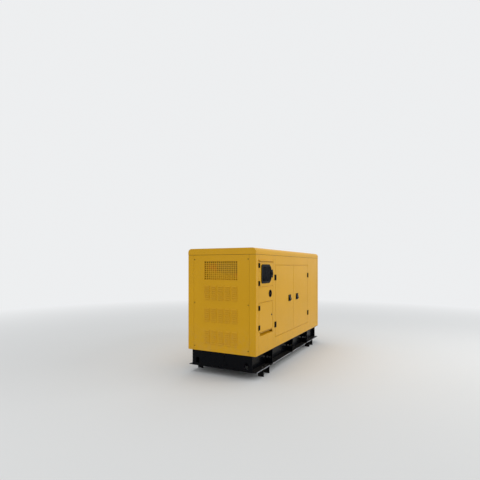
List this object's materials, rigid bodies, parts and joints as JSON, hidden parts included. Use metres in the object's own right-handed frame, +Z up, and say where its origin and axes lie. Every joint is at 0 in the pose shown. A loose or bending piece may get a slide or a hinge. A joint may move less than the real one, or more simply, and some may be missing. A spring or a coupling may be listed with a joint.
{
  "type": "enclosed turbine generator set",
  "caption": "Sound-proof steel enclosure of a generator set on a black skid, with hinged double doors, a windowed control door, a terminal door, and louvred ends.",
  "frame": {"origin": "centre of the outer box at floor level", "axes": "+X along the length, away from the louvred end with the tank cover; -Y is the control side; +Z up"},
  "size_m": [3.07, 1.144, 1.808],
  "materials": {
    "enclosure_paint": "satin",
    "skid_paint": "semi-gloss",
    "black_fitting": "satin",
    "grille": "satin",
    "inner_plate": "matte",
    "cabinet_paint": "satin",
    "dark_glass": "clear, tinted",
    "machine_paint": "satin",
    "casing_steel": "heat-tinted",
    "copper": "bright",
    "rubber_seal": "matt",
    "bright_metal": "bright"
  },
  "bodies": {
    "enclosure": {"rail_front": "skid_paint", "rail_rear": "skid_paint", "end_plate_left": "skid_paint", "end_plate_right": "skid_paint", "base_tank": "skid_paint", "deck_plate": "skid_paint", "gusset_plates": "skid_paint", "feet": "skid_paint", "tank_cover": "skid_paint", "drain_plug": "skid_paint", "corner_posts": "enclosure_paint", "end_panel_left": "enclosure_paint", "end_panel_right": "enclosure_paint", "grille_left": "grille", "grille_right": "grille", "baffle_left": "inner_plate", "baffle_right": "inner_plate", "bay_partition": "inner_plate", "control_cabinet": "cabinet_paint", "cable_chute": "enclosure_paint", "control_header": "enclosure_paint", "control_middle_panel": "enclosure_paint", "control_lower_panel": "enclosure_paint", "door_post_panel": "enclosure_paint", "front_header": "enclosure_paint", "front_sill": "enclosure_paint", "front_right_panel": "enclosure_paint", "rear_wall": "enclosure_paint", "roof_seal": "rubber_seal", "roof": "enclosure_paint", "drip_rail": "enclosure_paint", "door_stops": "enclosure_paint", "machine_bed": "skid_paint", "alternator": "machine_paint", "gearbox": "machine_paint", "turbine": "casing_steel", "silencer": "casing_steel", "exhaust_plenum": "casing_steel", "terminal_board": "black_fitting", "busbars": "copper", "rear_doors": "enclosure_paint", "rear_door_hardware": "black_fitting", "fixed_hinge_leaves": "black_fitting", "emergency_stop": "black_fitting"},
    "main_door_left": {"main_door_left": "enclosure_paint", "main_left_hardware": "black_fitting"},
    "main_door_right": {"main_door_right": "enclosure_paint", "main_right_hardware": "black_fitting"},
    "control_door": {"control_door": "enclosure_paint", "window_frame": "black_fitting", "window_glass": "dark_glass", "control_door_hardware": "black_fitting"},
    "terminal_door": {"terminal_door": "enclosure_paint", "terminal_door_hinges": "black_fitting", "terminal_lock": "bright_metal"}
  },
  "joints": [
    {"name": "main_door_left", "type": "hinge", "parent": "enclosure", "child": "main_door_left", "pos_m": [-0.82825, -0.5575, 1.03], "axis": [0, 0, -1], "range_deg": [0, 110]},
    {"name": "main_door_right", "type": "hinge", "parent": "enclosure", "child": "main_door_right", "pos_m": [0.81325, -0.5575, 1.03], "axis": [0, 0, 1], "range_deg": [0, 110]},
    {"name": "control_door", "type": "hinge", "parent": "enclosure", "child": "control_door", "pos_m": [-1.42375, -0.5575, 1.441], "axis": [0, 0, -1], "range_deg": [0, 110]},
    {"name": "terminal_door", "type": "hinge", "parent": "enclosure", "child": "terminal_door", "pos_m": [-1.42375, -0.5575, 0.844], "axis": [0, 0, -1], "range_deg": [0, 110]}
  ]
}
